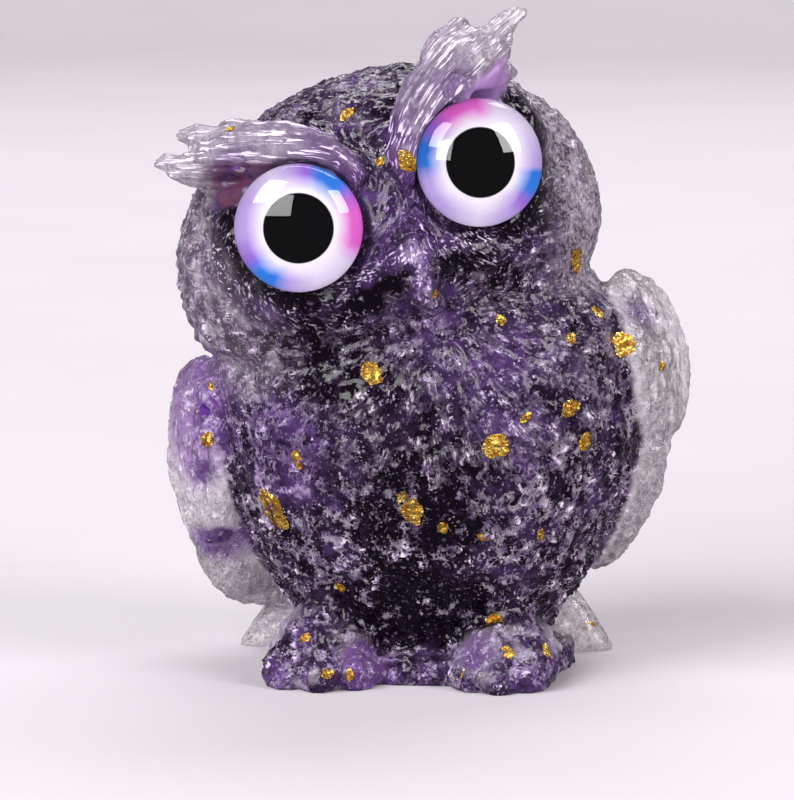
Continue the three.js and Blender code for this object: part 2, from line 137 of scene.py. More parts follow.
def largest_part(mesh):
    """Keeps only the largest connected skin of a mesh."""
    points, edges = arrays(mesh)
    label = np.arange(len(points))
    while True:
        low = np.minimum(label[edges[:, 0]], label[edges[:, 1]])
        before = label.copy()
        np.minimum.at(label, edges[:, 0], low)
        np.minimum.at(label, edges[:, 1], low)
        label = label[label]
        if (label == before).all():
            break
    names, counts = np.unique(label, return_counts=True)
    keep = names[counts.argmax()]
    if len(names) > 1:
        body = bmesh.new()
        body.from_mesh(mesh)
        body.verts.ensure_lookup_table()
        loose = [body.verts[i] for i in np.nonzero(label != keep)[0]]
        bmesh.ops.delete(body, geom=loose, context="VERTS")
        body.to_mesh(mesh)
        body.free()
    return mesh


class Neighbours:
    """Averages a value over each point's neighbours along the edges of a mesh."""

    def __init__(self, count, edges):
        self.count = count
        self.a = np.concatenate([edges[:, 0], edges[:, 1]])
        self.b = np.concatenate([edges[:, 1], edges[:, 0]])
        self.total = np.bincount(self.a, minlength=count) + 1e-12

    def mean(self, values):
        if values.ndim == 1:
            return np.bincount(self.a, values[self.b], minlength=self.count) / self.total
        return np.stack([self.mean(column) for column in values.T], 1)

    def blur(self, values, times, share=0.5):
        for _ in range(times):
            values = values + share * (self.mean(values) - values)
        return values


def smooth_step(low, high, value):
    share = np.clip((value - low) / (high - low), 0, 1)
    return share * share * (3 - 2 * share)


def unit(vectors):
    return vectors / np.maximum(np.linalg.norm(vectors, axis=-1, keepdims=True), 1e-12)


# ---- landmarks, from the frame -------------------------------------------------------------------

class Eye:
    """The place of one eye, from its flat printed disc."""

    def __init__(self, name):
        points, _, _ = welded(f"{name}_iris_print")
        self.name = name
        self.centre = (points.min(0) + points.max(0)) / 2
        _, _, axes = np.linalg.svd(points - points.mean(0), full_matrices=False)
        self.forward = axes[2] * (-1 if axes[2][1] > 0 else 1)

    def across(self, points):
        """Distance from the eye's axis, and the vectors away from it."""
        offset = points - self.centre
        away = offset - np.outer(offset @ self.forward, self.forward)
        return np.linalg.norm(away, axis=1), away


eyes = [Eye("eye_right"), Eye("eye_left")]
brow = (eyes[0].centre + eyes[1].centre) / 2
BODY_AXIS = np.array([brow[0] + 2.715, brow[1] + 15.534, 0])  # the body stands off the brow by this much
level = unit(eyes[1].centre - eyes[0].centre)  # from the owl's right eye to its left
face = unit(eyes[0].forward + eyes[1].forward)
crown = unit(np.cross(level, face))  # up, in the cocked head
crown = crown if crown[2] > 0 else -crown
head_centre = np.array([-3.8, -0.5, 41.6]) + BODY_AXIS
HEAD_RADII = np.array([21.0, 16.6, 16.4])
beak_tip = brow - 12.0 * crown


def curve(corners, steps=8):
    """A smooth curve through some corners, as a finer polyline."""
    ends = np.vstack([2 * corners[0] - corners[1], corners, 2 * corners[-1] - corners[-2]])
    spots = []
    for a, b, c, d in zip(ends, ends[1:], ends[2:], ends[3:]):
        for t in np.arange(steps) / steps:
            spots.append(0.5 * (2 * b + (c - a) * t + (2 * a - 5 * b + 4 * c - d) * t ** 2
                                + (3 * b - a - 3 * c + d) * t ** 3))
    return np.array(spots + [corners[-1]])


TUFTS = {  # the middle line of each ear tuft, from beside the beak to its tip
    "right": curve(BODY_AXIS + [[-5, -15.4, 46.5], [-8.2, -15.6, 49.8], [-14.4, -14.2, 50.4],
                                [-25, -10, 49.8]]),
    "left": curve(BODY_AXIS + [[-0.7, -15.4, 47.6], [-0.1, -15.4, 52], [3, -13.6, 57.4], [9.6, -8.8, 64]]),
}
BODY_PROFILE = np.array([[0.6, 10.6], [3, 11.6], [6, 13.6], [11, 16.8], [17, 19.4], [23, 20.8], [29, 20.9],
                         [34.5, 19.4], [39, 15.5], [42, 8]])
BODY_DEPTH_RATIO = 0.82


def head_level(points):
    """How far out a point is in the head's ellipsoid: 1 on its surface."""
    offset = points - head_centre
    back = -np.cross(level, crown)
    local = np.stack([offset @ level, offset @ back, offset @ crown], 1)
    return np.linalg.norm(local / HEAD_RADII, axis=1), local


def body_level(points):
    """How far out a point is in the body's turned form: 1 on its surface."""
    x, y, z = (points - BODY_AXIS).T
    radius = np.interp(z, BODY_PROFILE[:, 0], BODY_PROFILE[:, 1])
    return np.hypot(x, y / BODY_DEPTH_RATIO) / radius


def from_spine(points, spine):
    """Distance from a polyline, how far along it the nearest spot is (0 to 1), and its direction there."""
    best = np.full(len(points), 1e9)
    share = np.zeros(len(points))
    along = np.zeros((len(points), 3))
    steps = len(spine) - 1
    for i in range(steps):
        leg = spine[i + 1] - spine[i]
        t = np.clip((points - spine[i]) @ leg / (leg @ leg), 0, 1)
        gap = np.linalg.norm(points - (spine[i] + t[:, None] * leg), axis=1)
        nearer = gap < best
        best[nearer] = gap[nearer]
        share[nearer] = (i + t[nearer]) / steps
        along[nearer] = unit(leg)
    return best, share, along


def beside_spine(points, spine):
    """Places beside a curve, in mm: sideways, outward and along it."""
    _, share, _ = from_spine(points, spine)
    at = np.linspace(0, 1, len(spine))
    spot = np.stack([np.interp(share, at, column) for column in spine.T], 1)
    tangent = unit(np.stack([np.interp(share, at, column) for column in np.gradient(spine, axis=0).T], 1))
    side = unit(np.cross(tangent, face))
    offset = points - spot
    length = np.linalg.norm(np.diff(spine, axis=0), axis=1).sum()
    return (offset * side).sum(1), (offset * np.cross(side, tangent)).sum(1), share * length


# ---- the casting's skin --------------------------------------------------------------------------

def casting_skin():
    """The outer skin of the casting, with its pockets and its core filled, as a mesh in mm."""
    points, _, faces = welded("resin_casting")
    parts = [(points, faces)]
    for name in sorted(nodes):
        if name == "amethyst_fill":
            grow = FILL_GROW
        elif name.startswith(("gold_flake", "amethyst_chip")):
            grow = POCKET_GROW
        else:
            continue
        points, normals, faces = welded(name)
        parts.append((points + grow * normals, faces))
    mesh = largest_part(remeshed(*merged(parts), VOXEL))
    points, edges = arrays(mesh)
    near = Neighbours(len(points), edges)
    in_socket = np.ones(len(points))
    for eye in eyes:
        gap, _ = eye.across(points)
        in_front = (points - eye.centre) @ face > SOCKET_FRONT
        in_socket = np.where(in_front, np.minimum(in_socket, smooth_step(7.2, 8.6, gap)), in_socket)
    tufts = np.minimum(*[from_spine(points, spine)[0] for spine in TUFTS.values()])
    soft = (0.06 + 0.94 * in_socket) * (0.25 + 0.75 * smooth_step(2.5, 6, tufts))
    soft *= smooth_step(0.05, 1.2, points[:, 2])
    for _ in range(SMOOTHING_ROUNDS):
        points = points + SMOOTH_IN * soft[:, None] * (near.mean(points) - points)
        points = points - SMOOTH_OUT * soft[:, None] * (near.mean(points) - points)
    set_points(mesh, points)
    return evaluated(mesh, ("SUBSURF", {"levels": 1, "render_levels": 1}))


def lattice_noise(points, per_mm, seed):
    """Smooth gradient noise at many points at once, from about -1 to 1."""
    gradients = unit(np.random.RandomState(seed).normal(size=(1024, 3)))
    where = points * per_mm + 0.37 * seed
    cell = np.floor(where).astype(np.int64)
    inside = where - cell
    ease = inside ** 3 * (inside * (inside * 6 - 15) + 10)
    total = np.zeros(len(points))
    for corner in np.ndindex(2, 2, 2):
        spot = cell + corner
        pick = (spot[:, 0] * 73856093 ^ spot[:, 1] * 19349663 ^ spot[:, 2] * 83492791) & 1023
        share = np.prod(np.where(corner, ease, 1 - ease), axis=1)
        total += share * ((inside - corner) * gradients[pick]).sum(1)
    return 1.6 * total


def layered_noise(points, per_mm, seed, layers=2):
    return sum(lattice_noise(points, per_mm * 2.1 ** i, seed + i) / 1.9 ** i for i in range(layers))


def worms(points, per_mm, seed, width):
    """Thin crooked ridges: 1 along the middle of each and 0 away from it."""
    warp = np.stack([lattice_noise(points, per_mm * 1.7, seed + 20 + i) for i in range(3)], 1)
    field = layered_noise(points + 0.35 / per_mm * warp, per_mm, seed)
    return np.clip(1 - np.abs(field) / width, 0, 1)


# the web under each tuft: its side of the spine, where it starts along it, and from and to how far off it
MEMBRANES = ((-1, 0.45, -0.2, 5.2), (1, 0.55, 1.0, 4.6))


def zones_of(points):
    """Where each part of the owl is, as weights from 0 to 1 over the skin."""
    x, y, z = (points - BODY_AXIS).T
    head, local = head_level(points)
    body = body_level(points)
    on_head = 1 - smooth_step(1.04, 1.16, head)
    outside = smooth_step(1.01, 1.07, body) * (1 - on_head)
    wing = outside * smooth_step(11, 14, np.abs(x)) * smooth_step(2, 5, z) * (1 - smooth_step(39, 42, z))
    wing *= smooth_step(-11, -8, y)
    tail = smooth_step(1, 5, y) * (1 - smooth_step(10, 14, z)) * smooth_step(1.0, 1.06, body)
    wing *= 1 - tail * (1 - smooth_step(5, 9, z))
    feet = outside * (1 - smooth_step(-5, -3, y)) * (1 - smooth_step(6, 9, z))
    tuft = np.zeros(len(points))
    tip = np.zeros(len(points))
    for spine in TUFTS.values():
        gap, share, _ = from_spine(points, spine)
        here = (1 - smooth_step(4.0, 5.2, gap)) * smooth_step(1.0, 1.08, head)
        here *= smooth_step(0.0, 0.2, share)
        tuft = np.maximum(tuft, here)
        tip = np.maximum(tip, here * share)
    membrane = np.zeros(len(points))
    for spine, (under, start, inset, reach) in zip(TUFTS.values(), MEMBRANES):
        gap, share, _ = from_spine(points, spine)
        side, _, _ = beside_spine(points, spine)
        here = smooth_step(inset, inset + 0.8, under * side) * smooth_step(start, start + 0.08, share)
        here *= (1 - smooth_step(reach - 0.8, reach, gap)) * (1 - smooth_step(0.80, 0.90, share))
        membrane = np.maximum(membrane, here)
    membrane *= smooth_step(0.98, 1.04, head)
    sides = on_head * smooth_step(11.5, 18.5, np.abs(local[:, 0])) * smooth_step(-15, -9, local[:, 1])
    flank = on_head * smooth_step(9.5, 16.5, local[:, 0]) * smooth_step(-13, -9, local[:, 1])
    return {"flank": flank, "head": on_head, "wing": wing, "tail": tail, "feet": feet,
            "tuft": tuft, "tip": tip, "sides": sides, "membrane": membrane}


STRETCH = 3.4  # how many times longer a feather's strands are than they are wide
TUFT_STRETCH = 9.0  # and the same in the ear tufts
SPIRAL = math.radians(55)  # how far the strands round an eye turn away from its middle


def fanned(ways, far, radius):
    """Places in a fan of strands that split in two each time they have spread to twice their width."""
    ring = 2.0 ** np.round(np.log2(np.maximum(far, 1) / radius))
    return np.column_stack([radius * ring[:, None] * ways, far / STRETCH + 17 * ring])


def spiralled(points, eye):
    """Places across and along the strands that wind out from one eye; the seam is under the ear tuft."""
    gap, away = eye.across(points)
    turn = np.arctan2(away @ level, -away @ crown)
    far = np.log(np.maximum(gap, 1) / 8.0)
    across = turn * math.cos(SPIRAL) - far * math.sin(SPIRAL)
    along = turn * math.sin(SPIRAL) + far * math.cos(SPIRAL)
    return np.column_stack([8.0 * across, np.zeros(len(points)), 8.0 * along / STRETCH])


def combed(points, zones):
    """Places measured across and along the feathers, and how strongly the strands show there."""
    reach = points - beak_tip
    far = np.linalg.norm(reach, axis=1)
    place = fanned(unit(reach)[:, [0, 2]], far, 9.0)
    strength = (1 - smooth_step(12, 25, far)) * smooth_step(1.5, 4, far) * (points[:, 1] < BODY_AXIS[1])
    strength = np.maximum(0.8 * strength, 0.55 * zones["head"])
    for number, eye in enumerate(eyes):
        gap, _ = eye.across(points)
        here = (1 - smooth_step(9.5, 12.5, gap)) * ((points - eye.centre) @ face > -7)
        place = np.where((here > strength)[:, None], spiralled(points, eye) + [0, 0, 30 + 10 * number], place)
        strength = np.maximum(strength, here)
    for number, spine in enumerate(TUFTS.values()):
        gap, share, _ = from_spine(points, spine)
        here = 1.2 * (1 - smooth_step(3.6, 5.2, gap)) * smooth_step(0, 0.2, share)
        side, out, along = beside_spine(points, spine)
        lie = np.column_stack([1.3 * side, 0.8 * out, along / TUFT_STRETCH + 60 + 10 * number])
        place = np.where((here > strength)[:, None], lie, place)
        strength = np.maximum(strength, here)
    wing = 0.5 * zones["wing"]
    down = np.column_stack([points[:, 1], points[:, 0], points[:, 2] / STRETCH + 90])
    place = np.where((wing > strength)[:, None], down, place)
    return place, np.clip(np.maximum(strength, wing), 0, 1)


def soft_spot(points, centre, radii):
    """1 at a centre (mm from the body's axis), falling to 0 at its radii."""
    return 1 - smooth_step(0.3, 1.0, np.linalg.norm((points - BODY_AXIS - centre) / radii, axis=1))


BEAK_LINE = np.array([[0, -4.6], [-0.1, -7.5], [0, -10.6]])  # along `level` and `crown` from the brow
MOUSTACHE = np.array([[0.9, -5.4], [4.2, -6.3], [8.2, -6.9]])


def off_line(across, up, line):
    """Distance in a plane from some points to a polyline, and how far they lie below it."""
    flat = np.column_stack([across, up, np.zeros(len(across))])
    spine = np.column_stack([line, np.zeros(len(line))])
    return from_spine(flat, spine)[0], np.interp(across, line[:, 0], line[:, 1]) - up


def painted_face_light(points):
    """Painted highlights along the edges of the beak and the moustache feathers, and painted shade in the
    recess under them.
    """
    offset = points - brow
    across, up = offset @ level, offset @ crown
    in_front = smooth_step(-7, -4, offset @ face)
    edge, below = off_line(np.abs(across), up, MOUSTACHE)
    # painted highlight along the edges of the moustache feathers, and more weakly along the beak
    pale = (1 - smooth_step(0.3, 1.1, edge)) * in_front
    beak, _ = off_line(across, up, BEAK_LINE)
    pale = np.maximum(pale, 0.8 * (1 - smooth_step(0.2, 0.7, beak)) * in_front)
    # painted shade in the recess under the moustache feathers
    painted_shade = smooth_step(0.8, 1.6, below) * (1 - smooth_step(2.6, 4.2, below)) * in_front
    painted_shade *= smooth_step(0.8, 2.0, np.abs(across)) * (1 - smooth_step(6, 8.5, np.abs(across)))
    return pale, painted_shade


VIOLET_SPOTS = (  # strength, centre and radii of each patch of violet stone
    (0.45, [-1, -17, 38], [9, 9, 9]), (0.4, [9, -16, 30], [10, 9, 8]), (0.55, [-13, -14, 23], [9, 9, 9]),
    (1.2, [-22, -2, 26], [7, 12, 11]), (1.0, [-20, 0, 12], [5, 8, 3]), (0.6, [-2.7, -15.5, 46], [10, 9, 7]),
    (0.9, [-4.5, -13, 1.5], [4, 6, 3.5]),
)
BLACK_SPOTS = (  # and of each patch of nearly black stone
    (0.9, [0, -18, 17], [9, 9, 10]), (0.9, [-1, -13, 7], [14, 9, 6]), (0.6, [-8, -16, 31], [10, 9, 7]),
)


def casting():
    """The clear resin casting: its skin with feather relief, and the zones its material needs."""
    mesh = casting_skin()
    points, edges = arrays(mesh)
    normals = normals_of(mesh)
    zones = zones_of(points)
    near = Neighbours(len(points), edges)
    place, strand = combed(points, zones)

    strands = 0.9 * layered_noise(place, 1.0, SEED, 2)
    crooked = worms(points, 0.50, SEED + 3, 0.17)
    crooked *= smooth_step(-0.35, 0.15, lattice_noise(points, 0.7, SEED + 5))
    crumbs = lattice_noise(points, 1.5, SEED + 8)
    lumps = layered_noise(points, 0.42, SEED + 11)
    relief = strand * strands + (1 - strand) * (crooked - 0.35) + 0.2 * crumbs
    ridge = smooth_step(-0.1, 0.75, relief)

    calm = smooth_step(0.1, 1.4, points[:, 2])
    for eye in eyes:
        gap, _ = eye.across(points)
        in_front = (points - eye.centre) @ face > SOCKET_FRONT
        calm = np.where(in_front, np.minimum(calm, 0.06 + smooth_step(7.0, 8.6, gap)), calm)
    calm = np.clip(calm, 0, 1)
    height = RELIEF * np.clip(relief, -1.2, 1.6) * (1 - 0.7 * zones["tail"])
    height += LUMP * lumps * (1 - 0.6 * zones["tail"] + 1.6 * zones["feet"])
    set_points(mesh, points + (calm * height)[:, None] * normals)

    # painted highlight along the beak and moustache edges, and painted shade under the moustache feathers
    pale, painted_shade = painted_face_light(points)
    # painted shadow on the outer, lower side of each eye socket, added to the painted shade
    for eye, outward in zip(eyes, (-level, level)):
        gap, away = eye.across(points)
        ring = (1 - smooth_step(7.2, 8.4, gap)) * ((points - eye.centre) @ face > -4)
        painted_shade = np.maximum(painted_shade, ring * smooth_step(0.1, 0.7, unit(away) @ unit(outward - 0.5 * crown)))
    broken = layered_noise(points, 0.5, SEED + 14)
    clear = 0.84 * zones["wing"] + 0.82 * zones["tail"] + zones["sides"] * 0.3 * broken
    clear = np.maximum(clear, zones["tuft"] * 0.15 * broken + 0.6 * zones["tip"] ** 2)
    clear = np.maximum(clear, zones["feet"] * smooth_step(0.3, 0.7, broken) * 0.35)
    violet_chips = np.zeros(len(points))
    for name in sorted(nodes):
        if name.startswith("amethyst_chip"):
            middle = welded(name)[0].mean(0)
            far = np.linalg.norm(points - middle, axis=1)
            violet_chips = np.maximum(violet_chips, 1 - smooth_step(1.2, 3.2, far))
    clear = np.clip(near.blur(np.maximum(clear, 0.5 * violet_chips), 3), 0, 1)

    violet = 0.8 * zones["tuft"] * (1 - zones["tip"]) + 0.55 * violet_chips + 0.35 * zones["feet"]
    violet = violet + sum(share * soft_spot(points, *spot) for share, *spot in VIOLET_SPOTS)
    # the painted shade goes into the same black field as the nearly black stone patches
    black = np.maximum(sum(share * soft_spot(points, *spot) for share, *spot in BLACK_SPOTS), painted_shade)
    fields = {"clear": clear, "ridge": ridge * calm, "pale": pale * (1 - painted_shade), "strand": strand,
              "violet": np.clip(violet, 0, 1), "black": np.clip(black, 0, 1), "tuft": zones["tuft"],
              "wing": np.maximum(zones["wing"], zones["tail"]), "sides": zones["sides"],
              "flank": zones["flank"],
              "membrane": 0.9 * zones["membrane"],
              "wine": smooth_step(-0.5, -1.5, points[:, 0] - brow[0])}
    for name, values in fields.items():
        mesh.attributes.new(name, "FLOAT", "POINT").data.foreach_set("value", values.astype(np.float32))
    comb = mesh.attributes.new("comb", "FLOAT_VECTOR", "POINT")
    comb.data.foreach_set("vector", place.astype(np.float32).ravel())
    return piece_from("owl_resin_casting", mesh, ["resin_casting"])


def piece_from(name, mesh, replaced, smooth=True):
    """Puts a mesh in mm into the scene as one piece of the owl."""
    mesh.transform(Matrix.Scale(MM, 4))
    mesh.name = name
    for polygon in mesh.polygons:
        polygon.use_smooth = smooth
    piece = bpy.data.objects.new(name, mesh)
    bpy.context.scene.collection.objects.link(piece)
    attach(piece, "root")
    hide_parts(*replaced)
    return piece


# ---- materials -----------------------------------------------------------------------------------

class Nodes:
    """Short calls for building one node material."""

    def __init__(self, name):
        self.material = bpy.data.materials.new(name)
        self.material.use_nodes = True
        self.tree = self.material.node_tree
        self.shader = self.tree.nodes["Principled BSDF"]

    def add(self, kind, settings=None, **inputs):
        node = self.tree.nodes.new(kind)
        for key, value in (settings or {}).items():
            setattr(node, key, value)
        for key, value in inputs.items():
            self.set(node.inputs[key.replace("_", " ")], value)
        return node

    def set(self, socket, value):
        if isinstance(value, bpy.types.NodeSocket):
            self.tree.links.new(value, socket)
        else:
            socket.default_value = value

    def place(self, per_mm=1.0):
        """The object's own coordinates, in millimetres times per_mm."""
        where = self.add("ShaderNodeTexCoord")
        scaled = self.add("ShaderNodeVectorMath", {"operation": "SCALE"})
        self.set(scaled.inputs[0], where.outputs["Object"])
        scaled.inputs["Scale"].default_value = per_mm / MM
        return scaled.outputs[0]

    def noise(self, per_mm, detail=2.0, roughness=0.5, distortion=0.0, where=None):
        node = self.add("ShaderNodeTexNoise", Vector=where or self.place(), Scale=per_mm,
                        Detail=detail, Roughness=roughness, Distortion=distortion)
        return node.outputs["Fac"]

    def threads(self, per_mm, width, where=None, distortion=0.6):
        """Thin crooked lines: 1 along the middle of each and 0 away from it."""
        field = self.noise(per_mm, 3.0, 0.6, distortion, where)
        gap = self.maths("ABSOLUTE", self.maths("SUBTRACT", field, 0.5))
        return self.maths("SUBTRACT", 1.0, self.maths("DIVIDE", gap, width), clamp=True)

    def cracks(self, per_mm, width, wander):
        """Thin lines round crushed chips: 1 along each edge and 0 inside a chip."""
        shift = self.add("ShaderNodeTexNoise", Vector=self.place(), Scale=2.2 * per_mm, Detail=2.0)
        where = self.add("ShaderNodeVectorMath", {"operation": "MULTIPLY_ADD"})
        for socket, value in zip(where.inputs, (shift.outputs["Color"], (wander,) * 3, self.place())):
            self.set(socket, value)
        edge = self.add("ShaderNodeTexVoronoi", {"feature": "DISTANCE_TO_EDGE"},
                        Vector=where.outputs[0], Scale=per_mm)
        return self.maths("SUBTRACT", 1.0, self.maths("DIVIDE", edge.outputs["Distance"], width), clamp=True)

    def cells(self, per_mm):
        """A random value for each crushed chip."""
        node = self.add("ShaderNodeTexVoronoi", Vector=self.place(), Scale=per_mm)
        return self.add("ShaderNodeSeparateColor", Color=node.outputs["Color"]).outputs[0]

    def attribute(self, name):
        return self.add("ShaderNodeAttribute", {"attribute_name": name}).outputs["Fac"]

    def attribute_vector(self, name):
        return self.add("ShaderNodeAttribute", {"attribute_name": name}).outputs["Vector"]

    def ramp(self, value, *stops):
        """A colour or grey ramp: stops are (position, colour or grey), from low to high."""
        node = self.add("ShaderNodeValToRGB", Fac=value)
        elements = node.color_ramp.elements
        elements[0].position, elements[1].position = stops[0][0], stops[-1][0]
        for position, _ in stops[1:-1]:
            elements.new(position)
        for element, (_, colour) in zip(elements, stops):
            grey = isinstance(colour, (int, float))
            element.color = (colour, colour, colour, 1) if grey else (*colour, 1)
        return node.outputs["Color"]

    def mix(self, share, a, b, blend="MIX"):
        node = self.add("ShaderNodeMix", {"data_type": "RGBA", "blend_type": blend})
        self.set(node.inputs[0], share)
        for socket, value in ((node.inputs[6], a), (node.inputs[7], b)):
            self.set(socket, (*value, 1) if isinstance(value, tuple) and len(value) == 3 else value)
        return node.outputs[2]

    def maths(self, operation, a, b=0.0, clamp=False):
        node = self.add("ShaderNodeMath", {"operation": operation, "use_clamp": clamp})
        self.set(node.inputs[0], a)
        self.set(node.inputs[1], b)
        return node.outputs[0]

    def bump(self, height, distance_mm, strength=1.0):
        node = self.add("ShaderNodeBump", Height=height, Strength=strength, Distance=distance_mm * MM)
        return node.outputs["Normal"]

    def finish(self, **inputs):
        for key, value in inputs.items():
            socket = self.shader.inputs[key.replace("_", " ")]
            plain = isinstance(value, tuple) and len(value) == 3 and len(socket.default_value) == 4
            self.set(socket, (*value, 1) if plain else value)
        return self.material


def resin_material():
    """Clear resin: nearly black purple chips show through the body, and the wings are clear."""
    m = Nodes("clear_resin_over_amethyst")
    clear, ridge, strand, wing = (m.attribute(name) for name in ("clear", "ridge", "strand", "wing"))
    violet, black, tuft, pale = (m.attribute(name) for name in ("violet", "black", "tuft", "pale"))
    sides, membrane, wine = (m.attribute(name) for name in ("sides", "membrane", "wine"))
    flank = m.attribute("flank")
    comb = m.attribute_vector("comb")
    # lighter zones: the ear tufts and the sides of the head, plus the painted highlight along the beak and
    # moustache edges
    lighter_zones_and_painted_highlight = m.maths("MAXIMUM", m.maths("MAXIMUM", tuft, pale), m.maths("MULTIPLY", sides, 0.3))

    patch = m.maths("ADD", m.noise(0.20, 3.0, 0.6, 0.8), m.maths("MULTIPLY", violet, 0.30))
    # black carries the nearly black stone patches and also the painted shade under the moustache and in the
    # eye sockets
    patch = m.maths("SUBTRACT", patch, m.maths("MULTIPLY", black, 0.35))
    deep = m.ramp(patch, (0.36, (0.003, 0.001, 0.004)), (0.48, (0.012, 0.006, 0.018)),
                  (0.60, (0.032, 0.016, 0.054)), (0.80, (0.085, 0.036, 0.15)))
    stone = m.mix(m.ramp(m.cells(0.8), (0.3, 0.0), (0.9, 0.7)), deep, (0.004, 0.001, 0.005))
    mottle = m.ramp(m.noise(0.9, 3.0, 0.7), (0.52, 0.0), (0.60, 0.35))
    stone = m.mix(mottle, stone, m.mix(black, (0.07, 0.035, 0.10), (0.010, 0.004, 0.012)))
    stone = m.mix(m.maths("MULTIPLY", tuft, 0.8), stone, (0.075, 0.035, 0.11))
    stone = m.mix(m.maths("MULTIPLY", sides, 0.6), stone, (0.10, 0.078, 0.11))
    crystal = m.ramp(m.noise(1.9, 3.0, 0.7), (0.44, (0.05, 0.035, 0.06)), (0.56, (0.32, 0.27, 0.31)))
    stone = m.mix(m.maths("MULTIPLY", flank, 0.8), stone, crystal)

    worm = m.maths("MAXIMUM", m.threads(0.42, 0.06), m.maths("MULTIPLY", m.threads(0.9, 0.07), 0.95))
    worm = m.maths("MAXIMUM", worm, m.cracks(0.95, 0.13, 0.7))
    worm = m.ramp(worm, (0.35, 0.0), (0.52, 1.0))
    hair = m.ramp(m.noise(3.1, 2.0, 0.6, 0.3, comb), (0.50, 0.0), (0.545, 0.05), (0.575, 0.12), (0.605, 1.0))
    stroke = m.mix(strand, worm, hair)
    spread = m.maths("ADD", m.noise(0.5, 4.0, 0.7), m.maths("MULTIPLY", strand, 0.05))
    spread = m.maths("SUBTRACT", spread, m.maths("MULTIPLY", black, 0.07))
    spread = m.maths("ADD", spread, m.maths("MULTIPLY", m.maths("MAXIMUM", lighter_zones_and_painted_highlight, wing), 0.07))
    breaks = m.ramp(spread, (0.495, 0.0), (0.545, 1.0))
    grain = m.maths("SUBTRACT", m.noise(2.7, 1.0, 0.5), m.maths("MULTIPLY", tuft, 0.2))
    grain = m.maths("ADD", grain, m.maths("MULTIPLY", m.maths("MAXIMUM", sides, wing), 0.02))
    salt = m.ramp(grain, (0.64, 0.0), (0.67, 0.75))
    salt = m.maths("MULTIPLY", salt, m.mix(black, (1.0, 1.0, 1.0), (0.35, 0.35, 0.35)))
    # strokes show more on the raised crests of the relief: partly frosted resin, partly painted highlight
    # where the relief would catch the lamps
    raised = m.ramp(m.maths("ADD", ridge, m.maths("MULTIPLY", lighter_zones_and_painted_highlight, 0.5)), (0.10, 0.35), (0.5, 1.0))
    stroke = m.maths("MAXIMUM", m.maths("MULTIPLY", stroke, breaks), salt)
    stroke = m.maths("MULTIPLY", m.maths("MULTIPLY", stroke, raised), m.maths("SUBTRACT", 1.0, membrane))
    bright = m.maths("ADD", m.noise(1.1), m.maths("MULTIPLY", lighter_zones_and_painted_highlight, 0.12))
    # the strokes' lilac-white colour is partly frosted resin and grains, partly painted sparkle of the glossy
    # relief
    frost_and_painted_sparkle = m.mix(m.ramp(bright, (0.40, 0.0), (0.60, 1.0)), (0.27, 0.18, 0.34), (0.80, 0.70, 0.84))
    frost_and_painted_sparkle = m.mix(m.maths("MULTIPLY", violet, 0.8), frost_and_painted_sparkle, (0.64, 0.40, 0.88), "MULTIPLY")
    milk = m.mix(violet, m.mix(wine, (0.86, 0.80, 0.83), (0.52, 0.45, 0.52)), (0.15, 0.06, 0.28))
    dense = m.mix(stroke, m.mix(wing, stone, milk), frost_and_painted_sparkle)
    dark_film = m.ramp(m.noise(0.5), (0.42, (0.04, 0.008, 0.06)), (0.62, (0.085, 0.014, 0.04)))
    film = m.mix(wine, (0.36, 0.19, 0.47), dark_film)

    # in the clear zones: a violet or clear tint, painted shade along thin creases, and white painted sparkle
    # on the strokes
    tint = m.mix(violet, (0.97, 0.93, 0.95), (0.31, 0.11, 0.50))
    shade = m.ramp(m.threads(0.75, 0.07, distortion=1.0), (0.30, 0.0), (0.7, 0.6))
    shaded = m.mix(shade, tint, (0.34, 0.26, 0.35))
    glassy = m.mix(m.maths("MULTIPLY", stroke, 0.8), shaded, (0.97, 0.94, 0.97))
    colour = m.mix(membrane, m.mix(clear, dense, glassy), film)
    height = m.maths("ADD", stroke, m.maths("MULTIPLY", m.noise(2.5, 2.0, 0.6), 0.5))
    gloss = m.ramp(m.maths("ADD", mottle, wing), (0.0, 0.07), (0.35, 0.14), (1.0, 0.11))
    gloss = m.maths("MAXIMUM", gloss, m.maths("MULTIPLY", tuft, 0.27))
    cover = m.maths("ADD", stroke, membrane)
    through = m.maths("MULTIPLY", clear, m.ramp(cover, (0.0, 0.94), (1.0, 0.3)))
    return m.finish(Base_Color=colour, Roughness=gloss, IOR=1.5, Specular_IOR_Level=0.25,
                    Transmission_Weight=through, Normal=m.bump(height, 0.09, 0.6))


def fill_material():
    m = Nodes("crushed_amethyst")
    chips = m.cells(0.6)
    colour = m.ramp(chips, (0.0, (0.02, 0.008, 0.04)), (0.5, (0.09, 0.03, 0.18)), (1.0, (0.30, 0.14, 0.52)))
    return m.finish(Base_Color=colour, Roughness=m.ramp(m.noise(1.2), (0.3, 0.2), (0.7, 0.5)),
                    Normal=m.bump(m.noise(1.6), 0.2))


def chip_material():
    m = Nodes("amethyst_chip")
    colour = m.ramp(m.noise(0.6), (0.3, (0.05, 0.012, 0.11)), (0.7, (0.16, 0.05, 0.32)))
    return m.finish(Base_Color=colour, Roughness=m.ramp(m.noise(2.0), (0.3, 0.4), (0.7, 0.6)),
                    Specular_IOR_Level=0.05, Normal=m.bump(m.noise(2.5), 0.08))


